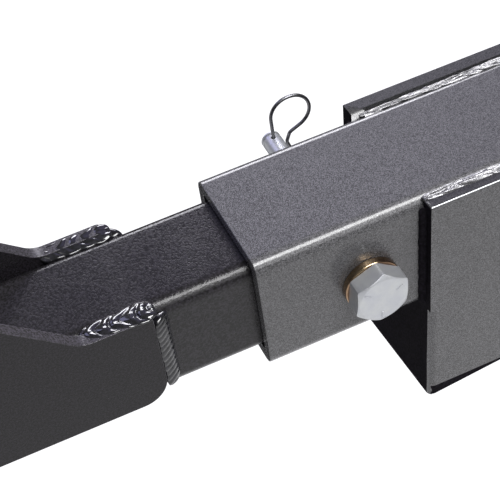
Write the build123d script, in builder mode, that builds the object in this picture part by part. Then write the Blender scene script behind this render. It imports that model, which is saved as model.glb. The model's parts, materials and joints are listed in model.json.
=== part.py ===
"""Weight distribution hitch: receiver, bolted shank, ball head and two spring bars (mm, +Z up).

The hitch hangs from the flange plate at its +X end, and the trailer stands towards -X.
The origin is the centre of the flange plate's rear face.
"""
import os
from math import cos, pi, radians, sin, tan

from build123d import *

os.makedirs("parts", exist_ok=True)

INCH = 25.4

# ---------------------------------------------------------------- driving dimensions
# Lengths along X are counted from the receiver's open end, heights from the axis of its tube.
receiver_size = 2.5 * INCH
receiver_wall = 5.9
receiver_outer_r = 6.5
receiver_inner_r = 1.6
receiver_length = 7.125 * INCH

flange_thickness = 0.375 * INCH
flange_width = 5.0 * INCH
flange_corner_r = 8.0
flange_bolt_dy = 4.0 * INCH
flange_bolt_dz = 3.5 * INCH
flange_hole_r = 7.1

bracket_plate = 0.25 * INCH
bracket_height = 120.0
bracket_front_top_x = 78.5
bracket_front_lean = 3.5
bracket_front_skew = 3.4
bracket_far_gap = 1.7
bracket_bottom_rise = 7.0
bracket_bend_r = 3.5

shank_size = 2.0 * INCH
shank_wall = 0.25 * INCH
shank_outer_r = 6.5
shank_inner_r = 2.0
shank_rear_x = 140.0
shank_front_x = -108.0

# Hitch bolt: 5/8 in thread, turned down behind it and again at the tip.
bolt_x = 50.1
bolt_z = -2.7
bolt_hole_r = 8.3
bolt_thread_r = 7.93
bolt_body_r = 6.6
bolt_tip_r = 4.75
bolt_flats = 23.8
bolt_head_height = 9.2
bolt_head_turn = 83.0
bolt_thread_end_y = -2.0
bolt_body_end_y = 46.0
bolt_tip_end_y = 73.5
bolt_cone_angle = 60.0
bolt_chamfer_share = 0.95
bolt_tip_chamfer = 1.2
washer_outer_r = 13.2
washer_inner_r = 8.3
washer_thickness = 3.9
washer_gap = 1.6
nut_height = 16.0
nut_bore_r = 7.98

# Hitch clip: a straight leg, a round loop and an arm that springs against the bolt's tip.
clip_y = 68.0
clip_wire_r = 0.85
clip_hole_r = 1.2
clip_leg_below = 12.0
clip_loop_r = 9.8
clip_loop_centre_z = 15.4
clip_loop_end = -66.0
clip_shoulder_run = 6.0
clip_waist = (6.3, -0.9)
clip_tail = (8.2, -7.4)
clip_bend_r = 3.0

# Cheek plates, one on each side of the shank, rise into a column with a row of bolt holes.
cheek_plate = 0.25 * INCH
cheek_front_x = -46.5
cheek_top_z = 26.95
cheek_bottom_z = -23.0
cheek_kink_x = -77.5
cheek_rise_slope = 0.87
cheek_column_right_x = -112.0
cheek_column_left_x = -176.0
cheek_column_top_z = 150.0
cheek_corner_r = 12.0
cheek_weld_corner_r = 2.0
row_x = -144.0
row_pitch = 32.0
row_count = 5
row_hole_r = 9.8

# Weld beads.
bead_top_rise = 3.2
bead_top_reach = 7.2
bead_crown_inset = 1.0
bead_left_x = -76.5
bead_right_x = -43.5
bead_side_reach = 7.6
bead_side_bulge = 1.6
bead_side_top_z = 20.5
bead_side_bottom_z = -17.0
bracket_bead_near = (4.4, 4.2, 1.9)
bracket_bead_far = (3.6, 2.7, 0.7)
bracket_bead_drop = 5.6

# Ball head.
mast_width = 50.0
mast_left_x = -182.0
mast_right_x = -114.0
head_bottom_z = 14.0
head_top_z = 144.0
mast_edge_r = 3.0
face_plate_thickness = 12.0
head_width = 76.0
platform_thickness = 1.0 * INCH
platform_left_x = -272.0
platform_corner_r = 16.0
platform_chamfer = 2.0
ball_x = -236.0
ball_diameter = 2.3125 * INCH
ball_centre_above = 50.0
ball_neck_r = 17.5
ball_base_r = 25.5
ball_base_height = 8.0
ball_shank_r = 15.875
ball_hole_r = 16.2
ball_shank_below = 60.0
ball_flat_r = 12.0
ball_shank_chamfer = 2.0
ball_washer_outer_r = 26.0
ball_washer_thickness = 6.0
ball_nut_flats = 1.875 * INCH
ball_nut_height = 25.0
gusset_thickness = 8.0
gusset_reach = 52.0
gusset_drop = 34.0

# Head bolts: 3/4 in, through both cheek plates and the mast.
head_bolt_r = 9.525
head_bolt_rows = (1, 4)
head_bolt_flats = 1.125 * INCH
head_bolt_head = 12.0
head_bolt_tail = 6.0
head_nut_height = 16.3
head_washer_outer_r = 18.6
head_washer_thickness = 3.6

# Yoke and spring bars.
yoke_thickness = 12.0
yoke_upper_z = 62.0
yoke_half_width = 80.0
yoke_left_x = -262.0
yoke_corner_r = 22.0
yoke_ear_r = 20.0
pivot_x = -236.0
pivot_y = 57.0
pivot_pin_r = 9.525
pivot_hole_r = 9.7
pivot_head_r = 15.0
pivot_head_height = 6.0
pivot_pin_below = 16.0
pivot_clip_drop = 9.0
pivot_chamfer = 1.5
web_thickness = 12.0
web_left_x = -252.0
eye_clearance = 0.4
eye_outer_r = 20.0
eye_bore_r = 12.7
bushing_inner_r = 9.6
bar_length = 28.0 * INCH
bar_root_width = 30.0
bar_root_height = 30.0
bar_tip_width = 26.0
bar_tip_height = 17.0
bar_root_offset = 14.0
bar_corner_r = 5.0
pin_clip_size = 1.9

# ---------------------------------------------------------------- derived places
mouth_x = -(receiver_length + flange_thickness)
axis_z = bracket_height / 2 - receiver_size / 2
half_receiver = receiver_size / 2
half_shank = shank_size / 2
bracket_near_y = -half_receiver - bracket_plate
bracket_far_y = half_receiver + bracket_far_gap + bracket_plate
bracket_top_z = half_receiver
bracket_bottom_z = bracket_top_z - bracket_height
bracket_front_bottom_x = bracket_front_top_x - bracket_height * tan(radians(bracket_front_lean))
cheek_outer_y = half_shank + cheek_plate
platform_bottom_z = head_top_z - platform_thickness
face_left_x = mast_left_x - face_plate_thickness
washer_face_y = -half_receiver - washer_thickness
head_bolt_z = [row_pitch * row for row in head_bolt_rows]


def side(y=0.0, x=0.0, z=0.0):
    """Plane parallel to the hitch's side at y, centred on x and z (normal -Y)."""
    return Plane(origin=(mouth_x + x, y, axis_z + z), x_dir=(1, 0, 0), z_dir=(0, -1, 0))


def across(x):
    """Plane square to the tube at distance x from the open end (normal +X)."""
    return Plane(origin=(mouth_x + x, 0, axis_z), x_dir=(0, 1, 0), z_dir=(1, 0, 0))


def level(z, x=0.0, y=0.0):
    """Horizontal plane at height z above the tube's axis, centred on x and y (normal +Z)."""
    return Plane(origin=(mouth_x + x, y, axis_z + z), x_dir=(1, 0, 0), z_dir=(0, 0, 1))


def save(piece, label):
    """Label a finished piece and write its STEP file."""
    piece.part.label = label
    export_step(piece.part, f"parts/{label}.step")


def hex_prism(plane, flats, height, turn=0.0):
    """Hexagonal head or nut, standing on a plane, its outer face chamfered to a circle."""
    corner_r = flats / 2 / cos(pi / 6)
    face_r = flats / 2 * bolt_chamfer_share
    with BuildPart() as prism:
        with BuildSketch(plane):
            RegularPolygon(corner_r, 6, rotation=turn)
        extrude(amount=height)
        with Locations(plane):
            Cone(
                face_r + height * tan(radians(bolt_cone_angle)), face_r, height,
                align=(Align.CENTER, Align.CENTER, Align.MIN), mode=Mode.INTERSECT,
            )
    return prism.part


def r_clip(plane, size=1.0):
    """Spring clip in a plane: leg along its Y through the origin, loop and arm on its +X side."""
    turn = radians(clip_loop_end)
    loop_x = clip_loop_r * (1 + cos(turn))
    loop_y = clip_loop_centre_z + clip_loop_r * sin(turn)
    shoulder = (loop_x + clip_shoulder_run * sin(turn), loop_y - clip_shoulder_run * cos(turn))
    loop_end, shoulder, waist, tail = [
        (size * x, size * y) for x, y in ((loop_x, loop_y), shoulder, clip_waist, clip_tail)
    ]
    with BuildPart() as clip:
        with BuildLine(plane) as wire:
            Line((0, -size * clip_leg_below), (0, size * clip_loop_centre_z))
            loop_centre = (size * clip_loop_r, size * clip_loop_centre_z)
            CenterArc(loop_centre, size * clip_loop_r, 180, clip_loop_end - 180)
            FilletPolyline(loop_end, shoulder, waist, tail, radius=size * clip_bend_r)
        with BuildSketch(Plane(origin=wire.line @ 0, z_dir=plane.y_dir)):
            Circle(size * clip_wire_r)
        sweep()
    return clip


# ---------------------------------------------------------------- receiver
with BuildPart() as receiver_tube:
    with BuildSketch(across(0)):
        RectangleRounded(receiver_size, receiver_size, receiver_outer_r)
        inner_size = receiver_size - 2 * receiver_wall
        RectangleRounded(inner_size, inner_size, receiver_inner_r, mode=Mode.SUBTRACT)
    extrude(amount=receiver_length)
    with BuildSketch(side()):
        with Locations((bolt_x, bolt_z)):
            Circle(bolt_hole_r)
    extrude(amount=receiver_size, both=True, mode=Mode.SUBTRACT)
save(receiver_tube, "receiver_tube")

bracket_depth = receiver_length - bracket_front_bottom_x
bracket_rear_bottom_z = bracket_bottom_z + bracket_depth * tan(radians(bracket_bottom_rise))


def bracket_outline(y, inset, rear_bottom_z):
    """Side outline of the bracket at y: its front leans, and stands further forward on +Y."""
    forward = bracket_front_skew * (y - bracket_near_y) / (bracket_far_y - bracket_near_y)
    Polygon(
        (bracket_front_top_x - forward + inset, bracket_top_z),
        (bracket_front_bottom_x - forward + inset, bracket_bottom_z),
        (receiver_length, rear_bottom_z),
        (receiver_length, bracket_top_z),
        align=None,
    )


# The bracket's front is bent below the tube, and its legs' edges stay square beside the tube.
with BuildPart() as bracket_blank:
    for y in (bracket_near_y, bracket_far_y):
        with BuildSketch(side(y)):
            bracket_outline(y, 0, bracket_rear_bottom_z)
    loft()

with BuildPart() as bracket_upper:
    add(bracket_blank.part)
    split(bisect_by=level(-half_receiver), keep=Keep.TOP)

with BuildPart() as receiver_bracket:
    add(bracket_blank.part)
    front_face = receiver_bracket.faces().sort_by(Axis.X)[0]
    bends = front_face.edges().filter_by(lambda edge: abs(edge.tangent_at(0).Z) > abs(edge.tangent_at(0).Y))
    fillet(bends, bracket_bend_r)
    add(bracket_upper.part)
    for y in (-half_receiver, half_receiver + bracket_far_gap):
        with BuildSketch(side(y)):
            bracket_outline(y, bracket_plate, bracket_bottom_z)
    loft(mode=Mode.SUBTRACT)
    with BuildSketch(across(0)):
        Rectangle(receiver_size, receiver_size)
    extrude(amount=receiver_length, mode=Mode.SUBTRACT)
save(receiver_bracket, "receiver_bracket")

flange_centre_z = bracket_top_z - bracket_height / 2
with BuildPart() as flange_plate:
    with BuildSketch(across(receiver_length)):
        with Locations((0, flange_centre_z)):
            RectangleRounded(flange_width, flange_width, flange_corner_r)
            with GridLocations(flange_bolt_dy, flange_bolt_dz, 2, 2):
                Circle(flange_hole_r, mode=Mode.SUBTRACT)
    extrude(amount=flange_thickness)
save(flange_plate, "flange_plate")

# Weld beads in the grooves between the bracket's legs and the top corners of the tube.
bracket_bead_length = receiver_length - bracket_front_top_x
for edge_side, gap, bead_size, label in (
    (-1, 0, bracket_bead_near, "bracket_weld_near"),
    (1, bracket_far_gap, bracket_bead_far, "bracket_weld_far"),
):
    bead_reach, bead_lap, bead_rise = bead_size
    with BuildPart() as bracket_weld:
        with BuildSketch(across(bracket_front_top_x)):
            with BuildLine():
                seam_y = edge_side * half_receiver
                inner = (seam_y - edge_side * bead_reach, half_receiver)
                crown = (seam_y, half_receiver + bead_rise)
                outer = (seam_y + edge_side * bead_lap, half_receiver)
                wall = (seam_y + edge_side * gap, half_receiver)
                groove = (seam_y, half_receiver - bracket_bead_drop)
                ThreePointArc(inner, crown, outer)
                Polyline(outer, wall, groove, inner)
            make_face()
        extrude(amount=bracket_bead_length)
        add(receiver_tube.part, mode=Mode.SUBTRACT)
        add(receiver_bracket.part, mode=Mode.SUBTRACT)
    save(bracket_weld, label)

# ---------------------------------------------------------------- shank and cheek plates
shank_length = shank_rear_x - shank_front_x
with BuildPart() as shank_tube:
    with BuildSketch(across(shank_front_x)):
        RectangleRounded(shank_size, shank_size, shank_outer_r)
        shank_inner = shank_size - 2 * shank_wall
        RectangleRounded(shank_inner, shank_inner, shank_inner_r, mode=Mode.SUBTRACT)
    extrude(amount=shank_length)
    with BuildSketch(side()):
        with Locations((bolt_x, bolt_z)):
            Circle(bolt_hole_r)
    extrude(amount=shank_size, both=True, mode=Mode.SUBTRACT)
save(shank_tube, "shank_tube")

column_foot_z = cheek_top_z + (cheek_kink_x - cheek_column_right_x) * cheek_rise_slope
cheek_plates = {}
for inner_y, label in ((-half_shank, "cheek_plate_near"), (cheek_outer_y, "cheek_plate_far")):
    with BuildPart() as cheek:
        with BuildSketch(side(inner_y)) as outline:
            Polygon(
                (cheek_front_x, cheek_top_z),
                (cheek_kink_x, cheek_top_z),
                (cheek_column_right_x, column_foot_z),
                (cheek_column_right_x, cheek_column_top_z),
                (cheek_column_left_x, cheek_column_top_z),
                (cheek_column_left_x, cheek_bottom_z),
                (cheek_front_x, cheek_bottom_z),
                align=None,
            )
            top_front = outline.vertices().group_by(Axis.X)[-1].sort_by(Axis.Y)[-1]
            fillet([v for v in outline.vertices() if v != top_front], cheek_corner_r)
            top_front = outline.vertices().group_by(Axis.X)[-1].sort_by(Axis.Y)[-1]
            fillet(top_front, cheek_weld_corner_r)
            with Locations([(row_x, row_pitch * row) for row in range(row_count)]):
                Circle(row_hole_r, mode=Mode.SUBTRACT)
        extrude(amount=cheek_plate)
    save(cheek, label)
    cheek_plates[label] = cheek.part

# Top beads fill the groove between each cheek plate's top edge and the shank's rounded corner.
bead_length = bead_right_x - bead_left_x
for edge_side, end in ((-1, "near"), (1, "far")):
    with BuildPart() as top_weld:
        with BuildSketch(across(bead_left_x)):
            with BuildLine():
                bead_inner = (edge_side * (half_shank - bead_top_reach), half_shank)
                bead_crown = (edge_side * (half_shank - bead_crown_inset), half_shank + bead_top_rise)
                bead_outer = (edge_side * cheek_outer_y, cheek_top_z)
                bead_root = (edge_side * half_shank, half_shank - shank_outer_r)
                ThreePointArc(bead_inner, bead_crown, bead_outer)
                Polyline(bead_outer, (edge_side * half_shank, cheek_top_z), bead_root, bead_inner)
            make_face()
        extrude(amount=bead_length)
        add(shank_tube.part, mode=Mode.SUBTRACT)
        add(cheek_plates[f"cheek_plate_{end}"], mode=Mode.SUBTRACT)
    save(top_weld, f"top_weld_{end}")

# Side beads run down the front edge of each cheek plate.
bead_height = bead_side_top_z - bead_side_bottom_z
for edge_side, label in ((-1, "side_weld_near"), (1, "side_weld_far")):
    with BuildPart() as side_weld:
        with BuildSketch(level(bead_side_bottom_z)):
            with BuildLine():
                toe_plate = (cheek_front_x, edge_side * cheek_outer_y)
                toe_tube = (cheek_front_x + bead_side_reach, edge_side * half_shank)
                bulge = (
                    cheek_front_x + bead_side_reach / 2 + bead_side_bulge,
                    edge_side * (half_shank + cheek_plate / 2 + bead_side_bulge),
                )
                ThreePointArc(toe_plate, bulge, toe_tube)
                Polyline(toe_tube, (cheek_front_x, edge_side * half_shank), toe_plate)
            make_face()
        extrude(amount=bead_height)
        add(shank_tube.part, mode=Mode.SUBTRACT)
    save(side_weld, label)

# ---------------------------------------------------------------- hitch bolt
nut_outer_y = -half_shank + shank_wall
nut_blank = hex_prism(side(nut_outer_y + nut_height, bolt_x, bolt_z), bolt_flats, nut_height)
with BuildPart() as weld_nut:
    add(nut_blank)
    with BuildSketch(side(0, bolt_x, bolt_z)):
        Circle(nut_bore_r)
    extrude(amount=half_shank, both=True, mode=Mode.SUBTRACT)
save(weld_nut, "weld_nut")

head_blank = hex_prism(
    side(washer_face_y, bolt_x, bolt_z), bolt_flats, bolt_head_height, bolt_head_turn
)
with BuildPart() as hitch_bolt:
    add(head_blank)
    for radius, end_y in (
        (bolt_thread_r, bolt_thread_end_y),
        (bolt_body_r, bolt_body_end_y),
        (bolt_tip_r, bolt_tip_end_y),
    ):
        with BuildSketch(side(washer_face_y, bolt_x, bolt_z)):
            Circle(radius)
        extrude(amount=washer_face_y - end_y)
    end_faces = hitch_bolt.faces().filter_by(Plane.XZ).sort_by(Axis.Y)
    chamfer(end_faces[-1].edges(), bolt_tip_chamfer)
    chamfer(end_faces[-2].edges().sort_by(SortBy.RADIUS)[-1], bolt_tip_chamfer)
    with BuildSketch(level(bolt_z, bolt_x, clip_y)):
        Circle(clip_hole_r)
    extrude(amount=bolt_body_r, both=True, mode=Mode.SUBTRACT)
save(hitch_bolt, "hitch_bolt")

with BuildPart() as lock_washer:
    with BuildSketch(side(-half_receiver, bolt_x, bolt_z)):
        Circle(washer_outer_r)
        Circle(washer_inner_r, mode=Mode.SUBTRACT)
        with Locations((0, -washer_outer_r)):
            Rectangle(washer_gap, washer_outer_r, mode=Mode.SUBTRACT)
    extrude(amount=washer_thickness)
save(lock_washer, "lock_washer")

hitch_clip = r_clip(side(clip_y, bolt_x, bolt_z))
save(hitch_clip, "hitch_clip")

# ---------------------------------------------------------------- ball head
mast_length = mast_right_x - mast_left_x
with BuildPart() as head_mast:
    with BuildSketch(level(head_bottom_z)):
        with Locations(((mast_left_x + mast_right_x) / 2, 0)):
            Rectangle(mast_length, mast_width)
    extrude(amount=head_top_z - head_bottom_z)
    fillet(head_mast.edges().filter_by(Axis.Z).sort_by(Axis.X)[-2:], mast_edge_r)
    for bolt_row_z in head_bolt_z:
        with BuildSketch(side(0, row_x, bolt_row_z)):
            Circle(row_hole_r)
        extrude(amount=mast_width, both=True, mode=Mode.SUBTRACT)
save(head_mast, "head_mast")

with BuildPart() as head_face_plate:
    with BuildSketch(across(face_left_x)):
        with Locations((0, (head_bottom_z + head_top_z) / 2)):
            RectangleRounded(head_width, head_top_z - head_bottom_z, mast_edge_r)
    extrude(amount=face_plate_thickness)
save(head_face_plate, "head_face_plate")

platform_length = face_left_x - platform_left_x
with BuildPart() as ball_platform:
    with BuildSketch(level(platform_bottom_z)):
        with Locations(((platform_left_x + face_left_x) / 2, 0)):
            Rectangle(platform_length, head_width)
        with Locations((ball_x, 0)):
            Circle(ball_hole_r, mode=Mode.SUBTRACT)
    extrude(amount=platform_thickness)
    front_edges = ball_platform.edges().filter_by(Axis.Z).group_by(Axis.X)[0]
    fillet(front_edges, platform_corner_r)
    rim = ball_platform.faces().sort_by(Axis.Z)[-1].outer_wire().edges()
    chamfer(rim, platform_chamfer)
save(ball_platform, "ball_platform")

gusset_y = head_width / 2 - gusset_thickness
with BuildPart() as platform_gussets:
    for outer_y in (-gusset_y, head_width / 2):
        with BuildSketch(side(outer_y)):
            Polygon(
                (face_left_x, platform_bottom_z),
                (face_left_x - gusset_reach, platform_bottom_z),
                (face_left_x - gusset_reach, platform_bottom_z - gusset_thickness),
                (face_left_x, platform_bottom_z - gusset_drop),
                align=None,
            )
        extrude(amount=gusset_thickness)
save(platform_gussets, "platform_gussets")

yoke_lower_z = head_bottom_z
yoke_gap = yoke_upper_z - yoke_lower_z - yoke_thickness
for plate_z, label in ((yoke_upper_z, "yoke_upper_plate"), (yoke_lower_z, "yoke_lower_plate")):
    with BuildPart() as yoke_plate:
        with BuildSketch(level(plate_z)):
            Polygon(
                (face_left_x, -head_width / 2),
                (face_left_x, head_width / 2),
                (pivot_x + yoke_corner_r, yoke_half_width),
                (yoke_left_x, yoke_half_width),
                (yoke_left_x, -yoke_half_width),
                (pivot_x + yoke_corner_r, -yoke_half_width),
                align=None,
            )
        extrude(amount=yoke_thickness)
        ears = yoke_plate.edges().filter_by(Axis.Z).filter_by(
            lambda edge: abs(edge.center().Y) > head_width
        )
        fillet(ears, yoke_ear_r)
        with BuildSketch(level(plate_z)):
            with Locations((pivot_x, -pivot_y), (pivot_x, pivot_y)):
                Circle(pivot_hole_r)
        extrude(amount=yoke_thickness, mode=Mode.SUBTRACT)
    save(yoke_plate, label)

with BuildPart() as yoke_web:
    with BuildSketch(side(web_thickness / 2)):
        Polygon(
            (face_left_x, yoke_lower_z + yoke_thickness),
            (web_left_x, yoke_lower_z + yoke_thickness),
            (web_left_x, yoke_upper_z),
            (face_left_x, yoke_upper_z),
            align=None,
        )
    extrude(amount=web_thickness)
save(yoke_web, "yoke_web")

# ---------------------------------------------------------------- hitch ball
ball_r = ball_diameter / 2
ball_centre_z = head_top_z + ball_centre_above
ball_top_z = ball_centre_above + (ball_r**2 - ball_flat_r**2) ** 0.5
neck_meets_ball_z = ball_centre_above - (ball_r**2 - ball_neck_r**2) ** 0.5
with BuildPart() as hitch_ball:
    with BuildSketch(side(0, ball_x, head_top_z)):
        with BuildLine():
            Polyline(
                (0, ball_top_z),
                (0, -ball_shank_below),
                (ball_shank_r - ball_shank_chamfer, -ball_shank_below),
                (ball_shank_r, -ball_shank_below + ball_shank_chamfer),
                (ball_shank_r, 0),
                (ball_base_r, 0),
                (ball_base_r, ball_base_height - ball_shank_chamfer),
                (ball_base_r - ball_shank_chamfer, ball_base_height),
                (ball_neck_r, ball_base_height + ball_shank_chamfer),
                (ball_neck_r, neck_meets_ball_z),
            )
            ThreePointArc(
                (ball_neck_r, neck_meets_ball_z), (ball_r, ball_centre_above), (ball_flat_r, ball_top_z)
            )
            Line((ball_flat_r, ball_top_z), (0, ball_top_z))
        make_face()
    revolve(axis=Axis((mouth_x + ball_x, 0, 0), (0, 0, 1)))
save(hitch_ball, "hitch_ball")

ball_washer_bottom_z = platform_bottom_z - ball_washer_thickness
with BuildPart() as ball_washer:
    with BuildSketch(level(ball_washer_bottom_z, ball_x)):
        Circle(ball_washer_outer_r)
        Circle(ball_hole_r, mode=Mode.SUBTRACT)
    extrude(amount=ball_washer_thickness)
save(ball_washer, "ball_washer")

nut_down = Plane(
    origin=(mouth_x + ball_x, 0, axis_z + ball_washer_bottom_z), x_dir=(1, 0, 0), z_dir=(0, 0, -1)
)
ball_nut_blank = hex_prism(nut_down, ball_nut_flats, ball_nut_height)
with BuildPart() as ball_nut:
    add(ball_nut_blank)
    with BuildSketch(nut_down):
        Circle(ball_shank_r)
    extrude(amount=ball_nut_height, mode=Mode.SUBTRACT)
save(ball_nut, "ball_nut")

# ---------------------------------------------------------------- head bolts
near_washer_y = -cheek_outer_y - head_washer_thickness
far_washer_y = cheek_outer_y + head_washer_thickness
bolt_end_y = far_washer_y + head_nut_height + head_bolt_tail
head_blanks = [
    hex_prism(side(near_washer_y, row_x, z), head_bolt_flats, head_bolt_head) for z in head_bolt_z
]
with BuildPart() as head_bolts:
    for bolt_row_z, blank in zip(head_bolt_z, head_blanks):
        add(blank)
        with BuildSketch(side(near_washer_y, row_x, bolt_row_z)):
            Circle(head_bolt_r)
        extrude(amount=near_washer_y - bolt_end_y)
save(head_bolts, "head_bolts")

with BuildPart() as head_bolt_washers:
    for face_y in (-cheek_outer_y, far_washer_y):
        for bolt_row_z in head_bolt_z:
            with BuildSketch(side(face_y, row_x, bolt_row_z)):
                Circle(head_washer_outer_r)
                Circle(row_hole_r, mode=Mode.SUBTRACT)
            extrude(amount=head_washer_thickness)
save(head_bolt_washers, "head_bolt_washers")

far_plane = {
    z: Plane(origin=(mouth_x + row_x, far_washer_y, axis_z + z), x_dir=(-1, 0, 0), z_dir=(0, 1, 0))
    for z in head_bolt_z
}
nut_blanks = [hex_prism(far_plane[z], head_bolt_flats, head_nut_height) for z in head_bolt_z]
with BuildPart() as head_nuts:
    for bolt_row_z, blank in zip(head_bolt_z, nut_blanks):
        add(blank)
        with BuildSketch(far_plane[bolt_row_z]):
            Circle(head_bolt_r)
        extrude(amount=head_nut_height, mode=Mode.SUBTRACT)
save(head_nuts, "head_nuts")

# ---------------------------------------------------------------- spring bars and their pivots
yoke_top_z = yoke_upper_z + yoke_thickness
pin_end_z = yoke_lower_z - pivot_pin_below
pin_clip_z = yoke_lower_z - pivot_clip_drop
with BuildPart() as trunnion_pins:
    for pin_y in (-pivot_y, pivot_y):
        with BuildSketch(level(pin_end_z, pivot_x, pin_y)):
            Circle(pivot_pin_r)
        extrude(amount=yoke_top_z - pin_end_z)
        with BuildSketch(level(yoke_top_z, pivot_x, pin_y)):
            Circle(pivot_head_r)
        extrude(amount=pivot_head_height)
    pin_rims = trunnion_pins.faces().filter_by(Plane.XY).group_by(Axis.Z)
    chamfer(pin_rims[0].edges(), pivot_chamfer)
    chamfer(pin_rims[-1].edges(), pivot_chamfer)
    for pin_y in (-pivot_y, pivot_y):
        with BuildSketch(side(pin_y, pivot_x, pin_clip_z)):
            Circle(clip_hole_r * pin_clip_size)
        extrude(amount=pivot_head_r, both=True, mode=Mode.SUBTRACT)
save(trunnion_pins, "trunnion_pins")

# The pin clips lie flat, their legs through the pins and their loops pointing outwards.
pin_clip_parts = []
for outward in (-1, 1):
    clip_origin = (mouth_x + pivot_x, outward * pivot_y, axis_z + pin_clip_z)
    clip_plane = Plane(origin=clip_origin, x_dir=(-1, 0, 0), z_dir=(0, 0, -outward))
    pin_clip_parts.append(r_clip(clip_plane, pin_clip_size).part)
with BuildPart() as pin_clips:
    add(pin_clip_parts)
save(pin_clips, "pin_clips")

eye_bottom_z = yoke_lower_z + yoke_thickness + eye_clearance
eye_height = yoke_gap - 2 * eye_clearance
bar_mid_z = eye_bottom_z + eye_height / 2
bar_start_x = pivot_x - bar_root_offset
bar_end_x = pivot_x - bar_length
for pin_y, name in ((-pivot_y, "near"), (pivot_y, "far")):
    with BuildPart() as spring_bar:
        with BuildSketch(across(bar_start_x)):
            with Locations((pin_y, bar_mid_z)):
                RectangleRounded(bar_root_width, bar_root_height, bar_corner_r)
        with BuildSketch(across(bar_end_x)):
            with Locations((pin_y, bar_mid_z)):
                RectangleRounded(bar_tip_width, bar_tip_height, bar_corner_r)
        loft()
        with BuildSketch(level(eye_bottom_z, pivot_x, pin_y)):
            Circle(eye_outer_r)
        extrude(amount=eye_height)
        with BuildSketch(level(eye_bottom_z, pivot_x, pin_y)):
            Circle(eye_bore_r)
        extrude(amount=eye_height, mode=Mode.SUBTRACT)
    save(spring_bar, f"spring_bar_{name}")
    with BuildPart() as eye_bushing:
        with BuildSketch(level(eye_bottom_z, pivot_x, pin_y)):
            Circle(eye_bore_r)
            Circle(bushing_inner_r, mode=Mode.SUBTRACT)
        extrude(amount=eye_height)
    save(eye_bushing, f"eye_bushing_{name}")
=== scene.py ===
"""Looks of the weight distribution hitch: finishes, softened edges, weld beads, bolts, lights and camera.

Everything is in metres, in the frame of the CAD model, and takes its place from the CAD nodes' boxes.
"""
import json
import math

import bmesh
import bpy
from mathutils import Matrix, Vector, noise


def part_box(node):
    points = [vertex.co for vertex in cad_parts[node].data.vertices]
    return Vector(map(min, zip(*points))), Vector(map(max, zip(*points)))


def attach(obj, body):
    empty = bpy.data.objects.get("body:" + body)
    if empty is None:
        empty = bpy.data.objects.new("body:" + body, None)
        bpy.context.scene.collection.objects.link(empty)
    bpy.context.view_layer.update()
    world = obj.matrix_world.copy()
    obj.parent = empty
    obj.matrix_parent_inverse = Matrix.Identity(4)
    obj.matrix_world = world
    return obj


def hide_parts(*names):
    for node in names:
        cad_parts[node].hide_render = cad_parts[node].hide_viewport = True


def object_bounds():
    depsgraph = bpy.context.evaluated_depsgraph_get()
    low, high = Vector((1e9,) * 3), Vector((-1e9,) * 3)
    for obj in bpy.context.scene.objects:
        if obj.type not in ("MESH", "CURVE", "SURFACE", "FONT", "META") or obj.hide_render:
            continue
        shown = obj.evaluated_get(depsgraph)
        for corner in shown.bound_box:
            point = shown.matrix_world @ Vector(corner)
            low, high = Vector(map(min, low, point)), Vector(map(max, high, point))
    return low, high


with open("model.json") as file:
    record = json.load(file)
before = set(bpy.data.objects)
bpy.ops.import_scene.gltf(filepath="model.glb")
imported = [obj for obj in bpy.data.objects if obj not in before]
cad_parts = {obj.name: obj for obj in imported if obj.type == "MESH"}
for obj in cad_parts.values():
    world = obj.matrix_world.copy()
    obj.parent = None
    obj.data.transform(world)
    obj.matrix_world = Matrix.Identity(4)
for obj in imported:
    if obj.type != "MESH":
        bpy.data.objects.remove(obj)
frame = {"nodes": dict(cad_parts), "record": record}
cad_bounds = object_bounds()
MM = 0.001
TAU = 2 * math.pi
UP = Vector((0, 0, 1))


# ---------------------------------------------------------------- shader helpers
def material(name, color, metallic, roughness, **inputs):
    """A Principled material: its tree and its shader. Further inputs are named in lower case."""
    made = bpy.data.materials.new(name)
    made.use_nodes = True
    shader = made.node_tree.nodes["Principled BSDF"]
    shader.inputs["Base Color"].default_value = (*color, 1.0)
    shader.inputs["Metallic"].default_value = metallic
    shader.inputs["Roughness"].default_value = roughness
    for key, value in inputs.items():
        socket = next(s for s in shader.inputs if s.name.lower() == key.replace("_", " "))
        socket.default_value = value
    return made, made.node_tree, shader


def place(tree):
    """The point's place on the object, in metres."""
    return tree.nodes.new("ShaderNodeTexCoord").outputs["Object"]


def cloud(tree, per_metre, detail=2.0, roughness=0.5):
    """Smooth noise around 0.5 with that many cells a metre."""
    made = tree.nodes.new("ShaderNodeTexNoise")
    made.inputs["Scale"].default_value = per_metre
    made.inputs["Detail"].default_value = detail
    made.inputs["Roughness"].default_value = roughness
    tree.links.new(place(tree), made.inputs["Vector"])
    return made.outputs["Fac"]


def cells(tree, per_metre):
    """A random colour for each small cell, with that many cells a metre."""
    made = tree.nodes.new("ShaderNodeTexVoronoi")
    made.inputs["Scale"].default_value = per_metre
    tree.links.new(place(tree), made.inputs["Vector"])
    return made.outputs["Color"]


def channel(tree, color, name):
    """One channel of a colour."""
    made = tree.nodes.new("ShaderNodeSeparateColor")
    tree.links.new(color, made.inputs["Color"])
    return made.outputs[name]


def remap(tree, value, source, target):
    """The value taken from the source range to the target range."""
    made = tree.nodes.new("ShaderNodeMapRange")
    numbers = (*source, *target)
    for key, number in zip(("From Min", "From Max", "To Min", "To Max"), numbers):
        made.inputs[key].default_value = number
    tree.links.new(value, made.inputs["Value"])
    return made.outputs["Result"]


def blend(tree, share, first, second):
    """A colour between two, each a triple or a socket."""
    made = tree.nodes.new("ShaderNodeMix")
    made.data_type = "RGBA"
    tree.links.new(share, made.inputs["Factor"])
    sockets = [s for s in made.inputs if s.type == "RGBA"]
    for socket, color in zip(sockets, (first, second)):
        if isinstance(color, tuple):
            socket.default_value = (*color, 1.0)
        else:
            tree.links.new(color, socket)
    return next(s for s in made.outputs if s.type == "RGBA")


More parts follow.
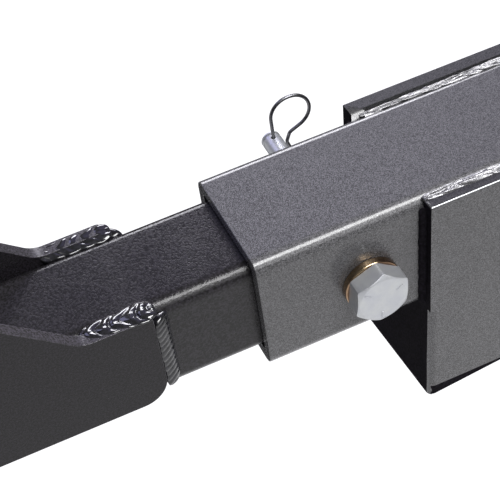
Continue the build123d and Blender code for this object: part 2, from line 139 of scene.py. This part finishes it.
def bump(tree, shader, height, strength, distance, below=None):
    """Bumps the shader's normal by a height map, on top of another normal where one is given."""
    made = tree.nodes.new("ShaderNodeBump")
    made.inputs["Strength"].default_value = strength
    made.inputs["Distance"].default_value = distance
    tree.links.new(height, made.inputs["Height"])
    if below is not None:
        tree.links.new(below, made.inputs["Normal"])
    tree.links.new(made.outputs["Normal"], shader.inputs["Normal"])


def flake_normal(tree, color, tilt):
    """The surface normal, tilted a little by each flake's random colour."""
    centred = tree.nodes.new("ShaderNodeVectorMath")
    centred.operation = "SUBTRACT"
    centred.inputs[1].default_value = (0.5, 0.5, 0.5)
    tree.links.new(color, centred.inputs[0])
    scaled = tree.nodes.new("ShaderNodeVectorMath")
    scaled.operation = "SCALE"
    scaled.inputs["Scale"].default_value = tilt
    tree.links.new(centred.outputs[0], scaled.inputs[0])
    summed = tree.nodes.new("ShaderNodeVectorMath")
    summed.operation = "ADD"
    tree.links.new(tree.nodes.new("ShaderNodeNewGeometry").outputs["Normal"], summed.inputs[0])
    tree.links.new(scaled.outputs[0], summed.inputs[1])
    unit = tree.nodes.new("ShaderNodeVectorMath")
    unit.operation = "NORMALIZE"
    tree.links.new(summed.outputs[0], unit.inputs[0])
    return unit.outputs[0]


# ---------------------------------------------------------------- finishes
def graphite_coat(name, gloss, rough, lift):
    """Metallic grey powder coat: fine bright flakes under a clear, slightly uneven coat.

    gloss is the clear coat's roughness, rough the grey's own, and lift lightens the grey.
    """
    made, tree, shader = material(
        name, (0.1, 0.1, 0.11), 0.7, rough,
        coat_weight=1.0, coat_roughness=gloss, coat_ior=1.4,
    )

    def lifted(*color):
        return tuple(lift * part for part in color)

    flakes = cells(tree, 3600.0)
    drift = cloud(tree, 35.0)
    dark = blend(tree, drift, lifted(0.030, 0.030, 0.031), lifted(0.036, 0.036, 0.038))
    light = blend(tree, drift, lifted(0.160, 0.157, 0.168), lifted(0.180, 0.177, 0.190))
    share = remap(tree, channel(tree, flakes, "Red"), (0.2, 1.0), (0.0, 1.0))
    tree.links.new(blend(tree, share, dark, light), shader.inputs["Base Color"])
    tilted = flake_normal(tree, flakes, 0.4)
    bump(tree, shader, cloud(tree, 2000.0, 3.0), 0.3, 0.08 * MM, tilted)
    return made


def black_coat(name, color, rough, grain, depth, shine):
    """Satin black powder coat with a leathery texture, of that many grains a metre and that depth.

    shine is the level of its mirror-like reflection.
    """
    made, tree, shader = material(name, color, 0.0, rough, specular_ior_level=shine)
    patchy_rough = remap(tree, cloud(tree, 60.0), (0.3, 0.7), (rough - 0.04, rough + 0.05))
    tree.links.new(patchy_rough, shader.inputs["Roughness"])
    lighter = (2.4 * color[0], 2.3 * color[1], 2.6 * color[2])
    speckle = remap(tree, cloud(tree, grain, 3.0, 0.6), (0.42, 0.62), (0.0, 1.0))
    tree.links.new(blend(tree, speckle, color, lighter), shader.inputs["Base Color"])
    bump(tree, shader, speckle, 0.7, depth)
    return made


def plated(name, color, tint, rough, grain, metallic=1.0):
    """Plated steel: two close tones in soft patches, that many grains a metre and uneven gloss."""
    made, tree, shader = material(name, color, metallic, rough)
    share = remap(tree, cloud(tree, 160.0, 3.0), (0.35, 0.65), (0.0, 1.0))
    tree.links.new(blend(tree, share, color, tint), shader.inputs["Base Color"])
    patchy_rough = remap(tree, cloud(tree, 700.0, 3.0), (0.3, 0.7), (rough - 0.06, rough + 0.1))
    tree.links.new(patchy_rough, shader.inputs["Roughness"])
    bump(tree, shader, cloud(tree, grain, 3.0), 0.25, 0.05 * MM)
    return made


# One finish for each material slot of the record.
finishes = {
    "graphite_coat": graphite_coat("graphite_coat", 0.17, 0.66, 0.85),
    "black_coat": black_coat("black_coat", (0.0092, 0.0088, 0.0093), 0.17, 1000.0, 0.042 * MM, 0.23),
    "clear_zinc": plated("clear_zinc", (0.46, 0.47, 0.48), (0.42, 0.43, 0.46), 0.4, 2500.0, 0.74),
    "yellow_zinc": plated("yellow_zinc", (0.40, 0.30, 0.19), (0.27, 0.17, 0.11), 0.15, 2000.0),
    "chrome_plate": plated("chrome_plate", (0.80, 0.81, 0.83), (0.76, 0.77, 0.79), 0.1, 900.0),
    "spring_steel": plated("spring_steel", (0.20, 0.20, 0.21), (0.13, 0.13, 0.14), 0.3, 2500.0),
    "bronze": plated("bronze", (0.52, 0.34, 0.16), (0.44, 0.27, 0.12), 0.32, 1500.0),
}
# The two powder coats as they look on weld beads, plates, plate edges, leg tops and the bracket's web,
# several of them with painted light and shade.
bead_black = black_coat("black_coat_bead", (0.006, 0.006, 0.007), 0.1, 600.0, 0.01 * MM, 0.75)
# The bracket beads' graphite is glossier, and much lighter as a painted highlight.
glossy_lit_bead_graphite = graphite_coat("graphite_coat_glossy_lit_bead", 0.08, 0.3, 1.8)
# Painted shade: a darker grey for the bracket's leg tops.
shaded_graphite = graphite_coat("graphite_coat_shaded", 0.17, 0.7, 0.4)
# Painted light: a lighter black for the cheek plates' edges.
lit_edge_black = black_coat("black_coat_lit_edge", (0.022, 0.021, 0.023), 0.25, 1100.0, 0.03 * MM, 0.35)
# Painted shade: a darker black for the cheek plates' faces.
shaded_plate_black = black_coat("black_coat_shaded_plate", (0.0065, 0.006, 0.0067), 0.22, 1100.0, 0.03 * MM, 0.2)
side_bead_black = black_coat("black_coat_side_bead", (0.005, 0.005, 0.006), 0.14, 600.0, 0.01 * MM, 0.6)
# Painted shade: near-black for the bracket's web front, leg bottoms and front fillets.
painted_shade_coat = black_coat("graphite_coat_painted_shade", (0.004, 0.0035, 0.0045), 0.8, 900.0, 0.02 * MM, 0.03)

slot_of = {part["node"]: part["material_slot"] for part in frame["record"]["subparts"]}
body_of = {
    node: body
    for body, nodes in frame["record"]["behaviour"]["bodies"].items()
    for node in nodes
}
for node_name, cad_piece in frame["nodes"].items():
    cad_piece.data.materials.clear()
    cad_piece.data.materials.append(finishes[slot_of[node_name]])


# ---------------------------------------------------------------- mesh helpers
def add_piece(name, mesh, finish, slot, body, *nodes):
    """A finished piece from a bmesh: it has a finish, rides on a body and stands for CAD nodes."""
    data = bpy.data.meshes.new(name)
    bmesh.ops.recalc_face_normals(mesh, faces=mesh.faces)
    mesh.to_mesh(data)
    mesh.free()
    data.materials.append(finish)
    piece = bpy.data.objects.new(name, data)
    bpy.context.scene.collection.objects.link(piece)
    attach(piece, body)
    if nodes:
        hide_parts(*nodes)
    return piece


def smooth(piece, angle=35.0):
    """Shades a piece smoothly, with flat faces kept flat and edges over the angle kept sharp."""
    data = piece.data
    data.shade_smooth()
    data.set_sharp_from_angle(angle=math.radians(angle))
    weighted = piece.modifiers.new("weighted", "WEIGHTED_NORMAL")
    weighted.keep_sharp = True
    return piece


def softened(name, width, segments=2, shape=None, chosen=None):
    """A CAD node's shape, with its sharp edges rounded to that width.

    shape(mesh), where given, changes the mesh first, and chosen(edge) picks which sharp edges are rounded.
    """
    mesh = bmesh.new()
    mesh.from_mesh(frame["nodes"][name].data)
    bmesh.ops.remove_doubles(mesh, verts=mesh.verts, dist=0.002 * MM)
    bmesh.ops.dissolve_limit(
        mesh, angle_limit=math.radians(0.4), verts=mesh.verts, edges=mesh.edges, delimit={"NORMAL"}
    )
    if shape:
        shape(mesh)
    sharp_angle = math.radians(32)
    sharp = [
        edge for edge in mesh.edges
        if len(edge.link_faces) == 2 and edge.calc_face_angle() > sharp_angle
        and (chosen is None or chosen(edge))
    ]
    bmesh.ops.bevel(
        mesh, geom=sharp, offset=width, segments=segments, profile=0.5, affect="EDGES",
        clamp_overlap=chosen is None,
    )
    piece = add_piece(
        name + "_finished", mesh, finishes[slot_of[name]], slot_of[name], body_of[name], name
    )
    return smooth(piece)


def grid_shell(rings):
    """A closed skin through rings of points, each with as many points, with a face at either end."""
    mesh = bmesh.new()
    rows = [[mesh.verts.new(p) for p in ring] for ring in rings]
    count = len(rows[0])
    for row, next_row in zip(rows, rows[1:]):
        for i in range(count):
            j = (i + 1) % count
            mesh.faces.new((row[i], row[j], next_row[j], next_row[i]))
    mesh.faces.new(rows[0])
    mesh.faces.new(list(reversed(rows[-1])))
    return mesh


# ---------------------------------------------------------------- tubes, plates, bars and fasteners
def shade_plate_and_light_edge(plate):
    """Gives a cheek plate a darker black on its two faces, which is painted shade, and a lighter one around
    its edge, which is painted light.
    """
    shaded_faces_finish, lit_edge_finish = 0, 1
    plate.data.materials.clear()
    plate.data.materials.append(shaded_plate_black)
    plate.data.materials.append(lit_edge_black)
    for face in plate.data.polygons:
        face.material_index = shaded_faces_finish if abs(face.normal.y) > 0.95 else lit_edge_finish


# How far each node's edges are rounded, in millimetres.
edge_rounding = {
    "receiver_tube": 0.6, "flange_plate": 1.0, "shank_tube": 0.6,
    "cheek_plate_near": 0.7, "cheek_plate_far": 0.7, "head_mast": 0.8, "head_face_plate": 0.8,
    "platform_gussets": 0.8, "yoke_upper_plate": 1.0, "yoke_lower_plate": 1.0, "yoke_web": 0.7,
    "spring_bar_near": 1.0, "spring_bar_far": 1.0, "eye_bushing_near": 0.3,
    "eye_bushing_far": 0.3, "ball_washer": 0.5, "head_bolt_washers": 0.4, "ball_platform": 0.7,
    "head_bolts": 0.4, "head_nuts": 0.4, "ball_nut": 0.5, "weld_nut": 0.3, "trunnion_pins": 0.3,
}
for node_name, edge_width in edge_rounding.items():
    finished = softened(node_name, edge_width * MM)
    if node_name.startswith("cheek_plate"):
        shade_plate_and_light_edge(finished)

bracket_low, bracket_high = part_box("receiver_bracket")
turn_z = bracket_low.z + 6.2 * MM


def turned_under(mesh):
    """Turns the bottom of the bracket's legs a little inward, below a level line."""
    turn_in = 0.3 * MM
    bmesh.ops.bisect_plane(
        mesh, geom=mesh.verts[:] + mesh.edges[:] + mesh.faces[:],
        plane_co=(0, 0, turn_z), plane_no=(0, 0, 1),
    )
    for vert in mesh.verts:
        outer = min(vert.co.y - bracket_low.y, bracket_high.y - vert.co.y) < 0.5 * MM
        if outer and vert.co.z < turn_z - 0.1 * MM:
            vert.co.y += turn_in if vert.co.y < 0 else -turn_in


def near_leg_top(edge):
    """True for the edges around the top of the bracket's near leg."""
    return all(vert.co.y < 0 and vert.co.z > bracket_high.z - 0.3 * MM for vert in edge.verts)


def bracket():
    """The bracket, with painted shade in near-black on the web's front and the legs' bottoms and in a
    darker grey on the leg tops, and a painted highlight of bright zinc along the top edge of the near leg.
    """
    piece = softened("receiver_bracket", 0.9 * MM, 3, turned_under, near_leg_top)
    for finish in (painted_shade_coat, shaded_graphite, finishes["clear_zinc"]):
        piece.data.materials.append(finish)
    dark, shaded_top, painted_highlight = 1, 2, 3
    for face in piece.data.polygons:
        centre, normal = face.center, face.normal
        web_front = normal.x < -0.97
        leg_bottom = centre.z < turn_z and abs(normal.x) < 0.6
        near_top_edge = centre.y < 0 and centre.z > bracket_high.z - 1.0 * MM
        # Painted shade: the web's front faces and the legs' bottoms take the near-black coat.
        if web_front or leg_bottom:
            face.material_index = dark
        # Painted shade: the leg tops take the darker grey.
        elif normal.z > 0.95:
            face.material_index = shaded_top
        # Painted highlight: bright zinc on the near leg's top edge.
        elif near_top_edge and normal.z > 0.3 and normal.y < -0.5:
            face.material_index = painted_highlight


bracket()


# ---------------------------------------------------------------- weld beads
def weld_bead(name, start, end, toe_a, toe_b, root, out, finish, slot, *nodes, rise, pitch, depth, curl,
              seed, cap=3.0 * MM, wobble=0.4 * MM, swell=0.0, uneven=0.15, streak=0.0):
    """A weld bead laid from start to end.

    toe_a, toe_b and root are the corners of its section, as offsets from that line. It bulges by rise the
    way out points. Each ripple is pitch long and depth deep, and is curl of a ripple ahead at the middle of
    the bead. cap is the length of the rounded ends, wobble is how far each ripple moves the toes, and swell
    widens the bead towards its end. uneven bends the ripples and streak roughens them, both by noise.
    """
    along = end - start
    length = along.length
    middle = (toe_a + toe_b) / 2
    toe_move = wobble / (toe_a - toe_b).length
    steps = max(24, int(length / (0.35 * MM)))
    across_steps = 22
    rings = []
    for i in range(steps + 1):
        s = i / steps
        run = s * length
        centre = start + along * s
        near_end = min(run, length - run)
        cap_share = 1.0 if near_end >= cap else math.sqrt(max(0.0, 1 - (1 - near_end / cap) ** 2))
        cap_share = max(cap_share, 0.04)
        growth = swell * (s - 0.5)
        width_scale = 1 + growth + 0.10 * noise.noise(Vector((run * 220 + seed, seed, 0.5)))
        ring = []
        for k in range(across_steps + 1):
            t = k / across_steps
            crescent = 1 - (2 * t - 1) ** 2
            bend = uneven * noise.noise(Vector((run * 150 + seed, t * 1.5, seed)))
            phase = run / pitch + curl * crescent + bend
            ridge = math.sin(math.pi * (phase - math.floor(phase))) ** 0.6
            edge_wave = 1 + toe_move * (2 * ridge - 1)
            flat = toe_a.lerp(toe_b, t)
            flat = middle + (flat - middle) * width_scale * edge_wave * (0.25 + 0.75 * cap_share)
            hump = (crescent ** 0.75) * rise * cap_share * (1 + growth)
            ripple = depth * (ridge - 0.5) * (crescent ** 0.5) * cap_share
            ripple *= 1 + 2 * uneven * noise.noise(Vector((run * 110, seed, t * 3.0)))
            ripple += streak * noise.noise(Vector((run * 70, t * 7.0, seed))) * (crescent ** 0.5)
            ring.append(centre + flat + out * (hump + ripple))
        ring.append(centre + middle + (root - middle) * cap_share)
        rings.append(ring)
    piece = add_piece(name, grid_shell(rings), finish, slot, "root", *nodes)
    piece.data.shade_smooth()


def inner_and_outer_y(low, high, side):
    """The Y of a box's face that looks to the middle plane, and of the face that looks away from it."""
    return (high.y, low.y) if side < 0 else (low.y, high.y)


shank_low, shank_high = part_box("shank_tube")
shank_corner = 6.5 * MM


def top_bead(side, end_name, pull_back, rise, depth):
    """The bead between the shank's top and a cheek plate; its inner toe stands back by pull_back."""
    low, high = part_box(f"top_weld_{end_name}")
    inner_y, outer_y = inner_and_outer_y(low, high, side)
    weld_bead(
        f"top_bead_{end_name}", Vector((low.x, 0, 0)), Vector((high.x, 0, 0)),
        Vector((0, outer_y - side * 0.4 * MM, shank_high.z + 1.0 * MM)),
        Vector((0, inner_y + side * pull_back, shank_high.z - 0.05 * MM)),
        Vector((0, side * shank_high.y, shank_high.z - shank_corner)),
        Vector((0, 0.30 * side, 0.954)),
        bead_black, "black_coat", f"top_weld_{end_name}",
        rise=rise, pitch=6.0 * MM, depth=depth, curl=0.9, seed=3.0 + side,
        cap=5.5 * MM, swell=0.3, uneven=0.3, streak=0.3 * MM,
    )


def side_bead(side, end_name):
    """The bead between the shank's side and a cheek plate's front edge, laid downward."""
    low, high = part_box(f"side_weld_{end_name}")
    plate_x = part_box(f"cheek_plate_{end_name}")[1].x
    weld_bead(
        f"side_bead_{end_name}",
        Vector((0, 0, high.z + 3.0 * MM)), Vector((0, 0, low.z - 1.0 * MM)),
        Vector((plate_x + 0.2 * MM, side * (shank_high.y + 6.4 * MM), 0)),
        Vector((plate_x + 7.6 * MM, side * shank_high.y, 0)),
        Vector((plate_x, side * shank_high.y, 0)),
        Vector((0.62, 0.78 * side, 0)),
        side_bead_black, "black_coat", f"side_weld_{end_name}",
        rise=1.8 * MM, pitch=3.1 * MM, depth=0.6 * MM, curl=0.45, seed=8.0 + side, wobble=0.25 * MM,
    )


def bracket_bead(side, end_name, inner_gap, outer_gap, rise, swell):
    """The bead along a leg's top edge; its toes stand back from its CAD node's sides by the two gaps."""
    low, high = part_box(f"bracket_weld_{end_name}")
    inner_y, outer_y = inner_and_outer_y(low, high, side)
    inner_y += side * inner_gap
    outer_y -= side * outer_gap
    weld_bead(
        f"bracket_bead_{end_name}",
        Vector((low.x - 0.5 * MM, 0, 0)), Vector((high.x, 0, 0)),
        Vector((0, outer_y, bracket_high.z - 0.1 * MM)),
        Vector((0, inner_y, bracket_high.z - 0.4 * MM)),
        Vector((0, (inner_y + outer_y) / 2, bracket_high.z - 4.0 * MM)),
        # The beads' lighter grey is painted highlight.
        UP, glossy_lit_bead_graphite, "graphite_coat", f"bracket_weld_{end_name}",
        rise=rise, pitch=11.0 * MM, depth=0.3 * MM, curl=0.9, seed=15.0 + side,
        wobble=0.8 * MM, swell=swell, uneven=0.5, streak=1.1 * MM,
    )


def bracket_fillet(side, end_name, skew):
    """The thin bead down the bracket's leaning front edge, where it meets the receiver tube's side; its
    near-black coat is painted shade.
    """
    tube_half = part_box("receiver_tube")[1].y
    tube_centre_z = (shank_low.z + shank_high.z) / 2
    lean = math.tan(math.radians(3.5))
    top = tube_centre_z + tube_half - 3.5 * MM
    bottom = tube_centre_z - tube_half + 2.0 * MM
    top_x = bracket_low.x + skew + (top - bracket_low.z) * lean
    bottom_x = bracket_low.x + skew + (bottom - bracket_low.z) * lean
    weld_bead(
        f"bracket_fillet_{end_name}",
        Vector((top_x, 0, top)), Vector((bottom_x, 0, bottom)),
        Vector((-2.9 * MM, side * tube_half, 0)),
        Vector((0.6 * MM, side * (tube_half + 2.2 * MM), 0)),
        Vector((0.6 * MM, side * tube_half, 0)),
        Vector((-0.7, 0.7 * side, 0)),
        painted_shade_coat, "graphite_coat",
        rise=0.8 * MM, pitch=6.0 * MM, depth=0.3 * MM, curl=0.6, seed=22.0 + side,
    )


top_bead(-1, "near", pull_back=1.4 * MM, rise=1.5 * MM, depth=1.2 * MM)
side_bead(-1, "near")
top_bead(1, "far", pull_back=3.6 * MM, rise=0.9 * MM, depth=0.8 * MM)
side_bead(1, "far")
bracket_bead(-1, "near", inner_gap=1.2 * MM, outer_gap=2.4 * MM, rise=1.5 * MM, swell=0.3)
bracket_bead(1, "far", inner_gap=0.0, outer_gap=3.2 * MM, rise=0.6 * MM, swell=0.9)
bracket_fillet(-1, "near", skew=3.4 * MM)
bracket_fillet(1, "far", skew=0.2 * MM)


# ---------------------------------------------------------------- hitch bolt and lock washer
washer_low, washer_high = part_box("lock_washer")
bolt_low, bolt_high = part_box("hitch_bolt")
clip_low, clip_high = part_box("hitch_clip")
bolt_x = (washer_low + washer_high).x / 2
bolt_z = (bolt_low.z + bolt_high.z) / 2
bolt_flats = 23.8 * MM
bolt_turn = math.radians(83.0)
bolt_face_r = bolt_flats / 2 * 0.95


def bolt_ring(y_of, r_of):
    """A ring of points around the bolt's axis, where y_of and r_of give their Y and radius at an angle."""
    segments = 96
    angles = [TAU * i / segments for i in range(segments)]
    return [
        Vector((bolt_x + r_of(a) * math.cos(a), y_of(a), bolt_z + r_of(a) * math.sin(a)))
        for a in angles
    ]


def round_ring(y, radius):
    """A plain ring around the bolt's axis."""
    return bolt_ring(lambda a: y, lambda a: radius)


def hexagon(angle):
    """Distance from the bolt's axis to its head's outline, with the corners a little rounded."""
    sixth = math.pi / 3
    corner_round = 0.25 * MM
    sector = (angle - bolt_turn) % sixth - sixth / 2
    flat = bolt_flats / 2 / math.cos(sector)
    corner = bolt_flats / 2 / math.cos(sixth / 2)
    return min(flat, corner - corner_round)


def head_rings(face_y, base_y):
    """The head: a round face, a 30 degree chamfer down to the six flats, and the flats."""
    slope = math.tan(math.radians(30))

    def chamfer_y(a):
        return face_y + max(0.0, hexagon(a) - bolt_face_r) * slope

    def rim_r(a):
        return max(bolt_face_r, hexagon(a) - 0.3 * MM)

    def flat_y(a, share):
        return chamfer_y(a) + (base_y - 0.3 * MM - chamfer_y(a)) * share

    rings = [round_ring(face_y, bolt_face_r * share) for share in (0.25, 0.5, 0.7, 0.85, 0.96)]
    rings.append(round_ring(face_y + 0.05 * MM, bolt_face_r))
    rings.append(bolt_ring(lambda a: chamfer_y(a) - 0.12 * MM, rim_r))
    rings.append(bolt_ring(lambda a: chamfer_y(a) + 0.15 * MM, hexagon))
    rings += [bolt_ring(lambda a, s=share: flat_y(a, s), hexagon) for share in (0.3, 0.6, 0.9)]
    rings.append(bolt_ring(lambda a: base_y - 0.25 * MM, hexagon))
    rings.append(bolt_ring(lambda a: base_y, lambda a: hexagon(a) - 0.25 * MM))
    rings.append(round_ring(base_y, 8.6 * MM))
    return rings


def thread_rings(start_y, end_y):
    """A rolled thread of 11 turns an inch that runs out over its last 1.5 mm."""
    pitch, crest_r, root_r = 2.309 * MM, 7.9 * MM, 7.05 * MM
    count = int((end_y - start_y) / (pitch / 8))
    rings = []
    for i in range(count + 1):
        y = start_y + (end_y - start_y) * i / count
        fade = min(1.0, (end_y - y) / (1.5 * MM))

        def thread_r(a, y=y, fade=fade):
            phase = (y / pitch + a / TAU) % 1.0
            ridge = min(1.0, 1.25 * (1 - abs(2 * phase - 1)))
            return root_r + (crest_r - root_r) * ridge * fade

        rings.append(bolt_ring(lambda a, y=y: y, thread_r))
    return rings


def shaft_rings(thread_end_y, tip_y):
    """The body, turned down at a shoulder to the thin tip, which has a groove and a bevelled end."""
    body_r, tip_r, groove_r = 6.6 * MM, 4.75 * MM, 4.15 * MM
    shoulder_y, tip_start_y, bevel = 46.0 * MM, 60.0 * MM, 1.2 * MM
    outline = (
        (thread_end_y + 0.3 * MM, body_r), (shoulder_y - bevel, body_r), (shoulder_y, body_r - bevel),
        (shoulder_y + 0.05 * MM, tip_r), (tip_start_y, tip_r),
        (tip_y - 3.5 * MM, tip_r), (tip_y - 3.2 * MM, groove_r),
        (tip_y - 2.2 * MM, groove_r), (tip_y - 1.9 * MM, tip_r),
        (tip_y - bevel, tip_r), (tip_y - 0.2 * MM, tip_r - 1.05 * MM), (tip_y, tip_r - 1.4 * MM),
    )
    return [round_ring(y, radius) for y, radius in outline]


def bake(piece):
    """Applies a piece's modifiers."""
    evaluated = piece.evaluated_get(bpy.context.evaluated_depsgraph_get())
    data = bpy.data.meshes.new_from_object(evaluated)
    piece.modifiers.clear()
    piece.data = data


def drill_tip(piece):
    """Drills the hole for the clip's straight leg, up through the bolt's tip."""
    drill = bmesh.new()
    hole_r = 1.2 * MM
    bmesh.ops.create_cone(
        drill, cap_ends=True, segments=32, radius1=hole_r, radius2=hole_r, depth=20 * MM,
        matrix=Matrix.Translation((bolt_x, (clip_low.y + clip_high.y) / 2, bolt_z)),
    )
    drill_data = bpy.data.meshes.new("clip_hole")
    drill.to_mesh(drill_data)
    drill.free()
    tool = bpy.data.objects.new("clip_hole", drill_data)
    bpy.context.scene.collection.objects.link(tool)
    hole = piece.modifiers.new("clip_hole", "BOOLEAN")
    hole.object = tool
    hole.operation = "DIFFERENCE"
    hole.solver = "EXACT"
    bake(piece)
    bpy.data.objects.remove(tool)


def grade_marks():
    """The three raised radial lines on the head's face, which are the bolt's strength grade."""
    mark_mesh = bmesh.new()
    mark_size = Matrix.Diagonal((3.6 * MM, 0.6 * MM, 0.75 * MM, 1))
    along_bolt = Vector((0, 1, 0))
    for mark in range(3):
        angle = bolt_turn + math.radians(60) + mark * TAU / 3
        outward = Vector((math.cos(angle), 0, math.sin(angle)))
        centre = Vector((bolt_x, bolt_low.y, bolt_z)) + outward * 0.78 * bolt_face_r
        axes = Matrix((outward, along_bolt, outward.cross(along_bolt))).transposed().to_4x4()
        bmesh.ops.create_cube(mark_mesh, size=1.0, matrix=Matrix.Translation(centre) @ axes @ mark_size)
    bmesh.ops.bevel(
        mark_mesh, geom=mark_mesh.edges[:], offset=0.18 * MM, segments=2, profile=0.5, affect="EDGES"
    )
    marks = add_piece("hitch_bolt_marks", mark_mesh, finishes["clear_zinc"], "clear_zinc", "hitch_bolt")
    smooth(marks)


def hitch_bolt():
    """Hex head with grade marks, rolled thread, turned-down body and a drilled tip, along -Y to +Y."""
    head_base = washer_low.y
    thread_start, thread_end = head_base + 0.4 * MM, -2.0 * MM
    rings = head_rings(bolt_low.y, head_base)
    rings += thread_rings(thread_start, thread_end)
    rings += shaft_rings(thread_end, bolt_high.y)
    piece = add_piece(
        "hitch_bolt_finished", grid_shell(rings), finishes["clear_zinc"], "clear_zinc",
        "hitch_bolt", "hitch_bolt",
    )
    smooth(piece, 28.0)
    drill_tip(piece)
    grade_marks()


def lock_washer():
    """Split ring of square wire, its edges rounded, with its cut at the bottom."""
    outer_r, inner_r = 13.2 * MM, 8.3 * MM
    head_side, tube_side = washer_low.y, washer_high.y
    round_r = 0.7 * MM
    gap_angle = 1.6 * MM / outer_r
    steps, corner_steps = 120, 4
    quarter_turn = math.pi / 2
    corners = (
        (outer_r - round_r, head_side + round_r), (outer_r - round_r, tube_side - round_r),
        (inner_r + round_r, tube_side - round_r), (inner_r + round_r, head_side + round_r),
    )
    rings = []
    for i in range(steps + 1):
        a = -quarter_turn + gap_angle / 2 + (TAU - gap_angle) * i / steps
        ring = []
        for quarter, (r, y) in enumerate(corners):
            for k in range(corner_steps + 1):
                b = -quarter_turn + (quarter + k / corner_steps) * quarter_turn
                ring_r = r + round_r * math.cos(b)
                ring_y = y + round_r * math.sin(b)
                ring.append(Vector((bolt_x + ring_r * math.cos(a), ring_y, bolt_z + ring_r * math.sin(a))))
        rings.append(ring)
    piece = add_piece(
        "lock_washer_finished", grid_shell(rings), finishes["yellow_zinc"], "yellow_zinc",
        "bolt_washer", "lock_washer",
    )
    smooth(piece)


hitch_bolt()
lock_washer()


# ---------------------------------------------------------------- floor, lights and camera
scene = bpy.context.scene
scene.view_settings.view_transform = "Standard"
world = bpy.data.worlds.new("studio")
scene.world = world
world.use_nodes = True
background = world.node_tree.nodes["Background"]
background.inputs["Color"].default_value = (1.0, 1.0, 1.0, 1.0)
background.inputs["Strength"].default_value = 0.18


def level_sheet(name, height, corners, finish):
    """A flat level sheet with four corners, each given as X and Y."""
    data = bpy.data.meshes.new(name)
    data.from_pydata([(x, y, height) for x, y in corners], [], [(0, 1, 2, 3)])
    data.materials.append(finish)
    sheet = bpy.data.objects.new(name, data)
    scene.collection.objects.link(sheet)
    return sheet


# The floor glows a little, so that it renders as white as the photo's background.
floor_z = cad_bounds[0][2] - 0.4
half_floor = 20.0
floor_corners = (
    (-half_floor, -half_floor), (half_floor, -half_floor),
    (half_floor, half_floor), (-half_floor, half_floor),
)
floor_finish = material(
    "floor", (0.35, 0.35, 0.35), 0.0, 0.9, emission_color=(1.0, 1.0, 1.0, 1.0), emission_strength=0.7
)[0]
floor = level_sheet("floor", floor_z, floor_corners, floor_finish)

subject = Vector((-0.15, 0.0, 0.03))


def softbox(name, offset, size, power, color=(1.0, 1.0, 1.0)):
    """A rectangular light, of a size in metres and a power in watts, that faces the subject."""
    light = bpy.data.lights.new(name, "AREA")
    light.shape = "RECTANGLE"
    light.size, light.size_y = size
    light.energy = power
    light.color = color
    lamp = bpy.data.objects.new(name, light)
    lamp.location = subject + Vector(offset)
    lamp.rotation_euler = (-Vector(offset)).to_track_quat("-Z", "Y").to_euler()
    lamp.visible_camera = False
    scene.collection.objects.link(lamp)


# The key lights the tops and the front box lights the sides that face the camera. The boxes named top and
# left_top add a cool tint, and the backdrop is the white band that the far edges mirror.
softbox("key", (0.40, -0.55, 1.27), (1.1, 0.44), 34.0)
softbox("left_top", (-0.5, 0.74, 0.75), (0.5, 0.6), 2.4, (0.60, 0.59, 1.0))
softbox("backdrop", (0.36, 1.4, 0.64), (0.62, 0.54), 14.5, (0.95, 0.94, 1.0))
softbox("top", (0.35, 0.74, 0.78), (0.8, 0.7), 0.7, (0.52, 0.46, 1.0))
softbox("front", (0.2, -0.75, 0.68), (0.7, 0.6), 3.4)

# A black sheet on the floor behind the hitch, which only shows in what mirrors it: it gives the far edges
# the photo's dark outline.
flag_corners = ((-0.5, 0.2), (2.0, 0.2), (19.0, 19.0), (-0.5, 19.0))
flag_finish = material("black_flag", (0.01, 0.01, 0.01), 0.0, 1.0, specular_ior_level=0.0)[0]
flag = level_sheet("black_flag", floor_z + 0.01, flag_corners, flag_finish)
flag.visible_camera = False
flag.visible_diffuse = False
flag.visible_shadow = False

# The camera was fitted to the photo's edges: its place, its direction, its roll and its focal length.
camera_place = Vector((-0.33963, -0.51964, 0.59143))
camera_azimuth = math.radians(-16.9105)
camera_elevation = math.radians(45.5646)
camera_roll = math.radians(-9.7929)
back = Vector((
    math.sin(camera_azimuth) * math.cos(camera_elevation),
    -math.cos(camera_azimuth) * math.cos(camera_elevation),
    math.sin(camera_elevation),
))
level_right = UP.cross(back).normalized()
level_up = back.cross(level_right)
cos_roll, sin_roll = math.cos(camera_roll), math.sin(camera_roll)
right = level_right * cos_roll + level_up * sin_roll
up = level_up * cos_roll - level_right * sin_roll
lens = bpy.data.cameras.new("view")
lens.lens = 128.961
lens.sensor_width = 36.0
lens.clip_start = 0.05
camera = bpy.data.objects.new("view", lens)
camera.matrix_world = Matrix.Translation(camera_place) @ Matrix((right, up, back)).transposed().to_4x4()
scene.collection.objects.link(camera)
scene.camera = camera
